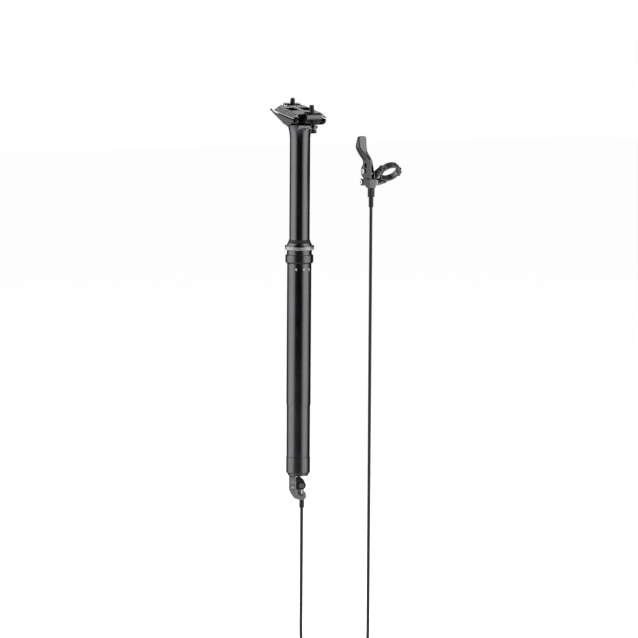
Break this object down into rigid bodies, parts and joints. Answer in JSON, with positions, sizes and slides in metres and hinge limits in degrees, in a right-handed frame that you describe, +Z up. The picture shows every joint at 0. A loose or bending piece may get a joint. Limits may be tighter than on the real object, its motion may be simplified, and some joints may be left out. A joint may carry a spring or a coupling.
{
  "type": "dropper seatpost",
  "caption": "Telescoping dropper seatpost with a bolted saddle clamp, a cable actuator at its foot and a thumb lever remote on a bar clamp, joined by a housed cable.",
  "frame": {"origin": "on the post axis, at the underside of the seal head collar, where the clamped tube begins", "axes": "+Z up the post, +X forward on the bicycle, +Y to its left"},
  "size_m": [0.0983, 0.1422, 0.7876],
  "materials": {
    "black_anodised": "black anodised, satin",
    "stanchion_black": "hard anodised, smooth black",
    "head_black": "black moulded seal head",
    "speckled_silver": "bright silver, fine speckle",
    "rubber_black": "soft black wiper",
    "bush": "plain bearing",
    "steel": "plain steel",
    "brass_key": "machined",
    "clamp_grey": "bead blasted grey",
    "cradle_black": "forged, satin black",
    "bolt_black": "black oxide steel",
    "nut_grey": "dark anodised, turned",
    "bracket_grey": "cast grey",
    "lever_grey": "satin dark grey",
    "bolt_silver": "bright socket head",
    "wire": "stranded wire",
    "cable_black": "smooth cable jacket",
    "ferrule": "black"
  },
  "bodies": {
    "post": {"outer_tube": "black_anodised", "lower_sleeve": "black_anodised", "seal_head": "head_black", "lock_ring": "speckled_silver", "wiper_seal": "rubber_black", "upper_bush": "bush", "bottom_cap": "black_anodised", "cartridge_body": "steel", "cartridge_gland": "steel", "actuator_bracket": "bracket_grey", "bracket_pin": "steel", "actuator_pivot": "steel", "lower_ferrule": "ferrule", "remote_perch": "lever_grey", "perch_bolt": "bolt_silver", "lever_pivot": "bolt_silver", "remote_ferrule": "ferrule", "bar_bracket": "lever_grey", "clamp_band": "lever_grey", "clamp_bolt": "bolt_black", "clamp_hinge": "steel", "cable_housing_post": "cable_black", "cable_coil": "cable_black", "cable_housing_remote": "cable_black", "cable_tie": "cable_black"},
    "upper": {"stanchion": "stanchion_black", "guide_keys": "brass_key", "lower_bush": "bush", "cartridge_rod": "steel", "cartridge_piston": "steel", "rod_nut": "steel", "bolt_washers": "steel"},
    "saddle_clamp": {"lower_cradle": "cradle_black", "top_clamp": "clamp_grey"},
    "front_bolt": {"front_bolt": "bolt_black"},
    "rear_bolt": {"rear_bolt": "bolt_black"},
    "front_nut": {"front_nut": "nut_grey"},
    "rear_nut": {"rear_nut": "nut_grey"},
    "actuator": {"actuator_lever": "lever_grey"},
    "wire_end": {"cable_anchor": "lever_grey", "anchor_grub": "bolt_silver", "inner_wire": "wire"},
    "valve": {"valve_rod": "steel"},
    "lever": {"remote_lever": "lever_grey"},
    "wire_head": {"cable_head": "wire", "upper_wire": "wire"},
    "adjuster": {"barrel_adjuster": "lever_grey"}
  },
  "joints": [
    {"name": "post_drop", "type": "slide", "parent": "post", "child": "upper", "axis": [0, 0, 1], "range_m": [-0.125, 0], "stiffness_N_per_m": 400, "springref_m": 0.375},
    {"name": "clamp_tilt", "type": "hinge", "parent": "upper", "child": "saddle_clamp", "pos_m": [0.00429, 0, 0.19399], "axis": [0, 1, 0], "range_deg": [-6, 6]},
    {"name": "front_bolt_swing", "type": "hinge", "parent": "upper", "child": "front_bolt", "pos_m": [0.02693, 0, 0.17479], "axis": [0, 1, 0], "range_deg": [-5, 5]},
    {"name": "rear_bolt_swing", "type": "hinge", "parent": "upper", "child": "rear_bolt", "pos_m": [-0.02055, 0, 0.18179], "axis": [0, 1, 0], "range_deg": [-1, 1]},
    {"name": "front_nut_swivel", "type": "hinge", "parent": "saddle_clamp", "child": "front_nut", "pos_m": [0.02566, 0, 0.18692], "axis": [0, 1, 0], "range_deg": [-11, 11]},
    {"name": "rear_nut_swivel", "type": "hinge", "parent": "saddle_clamp", "child": "rear_nut", "pos_m": [-0.01805, 0, 0.19677], "axis": [0, 1, 0], "range_deg": [-7, 7]},
    {"name": "lever_press", "type": "hinge", "parent": "post", "child": "lever", "pos_m": [0.04373, 0.07386, 0.1173], "axis": [-0.1219, -0.9925, 0], "range_deg": [0, 20.5], "stiffness_Nm_per_rad": 0.3, "springref_deg": -17.19},
    {"name": "actuator_pull", "type": "hinge", "parent": "post", "child": "actuator", "pos_m": [-0.00397, -0.00527, -0.2869], "axis": [-0.7986, 0.6018, 0], "range_deg": [0, 20]},
    {"name": "wire_end_swivel", "type": "hinge", "parent": "actuator", "child": "wire_end", "pos_m": [0.00295, 0.00391, -0.285], "axis": [-0.7986, 0.6018, 0], "range_deg": [-20, 0]},
    {"name": "valve_pull", "type": "slide", "parent": "post", "child": "valve", "axis": [0, 0, -1], "range_m": [0, 0.0024]},
    {"name": "wire_head_swivel", "type": "hinge", "parent": "lever", "child": "wire_head", "pos_m": [0.05464, 0.07252, 0.115], "axis": [-0.1219, -0.9925, 0], "range_deg": [-20.5, 0]},
    {"name": "adjuster_turn", "type": "hinge", "parent": "post", "child": "adjuster", "pos_m": [0.05464, 0.07252, 0.09], "axis": [0, 0, 1], "continuous": true}
  ],
  "couplings": [
    {"joint": "front_bolt_swing", "follows": "clamp_tilt", "ratio": -0.7597},
    {"joint": "rear_bolt_swing", "follows": "clamp_tilt", "ratio": -0.0623},
    {"joint": "front_nut_swivel", "follows": "clamp_tilt", "ratio": -1.7597},
    {"joint": "rear_nut_swivel", "follows": "clamp_tilt", "ratio": -1.0623},
    {"joint": "actuator_pull", "follows": "lever_press", "ratio": 0.9641},
    {"joint": "wire_end_swivel", "follows": "lever_press", "ratio": -0.9641},
    {"joint": "valve_pull", "follows": "lever_press", "m_per_rad": 0.006363},
    {"joint": "wire_head_swivel", "follows": "lever_press", "ratio": -1}
  ]
}
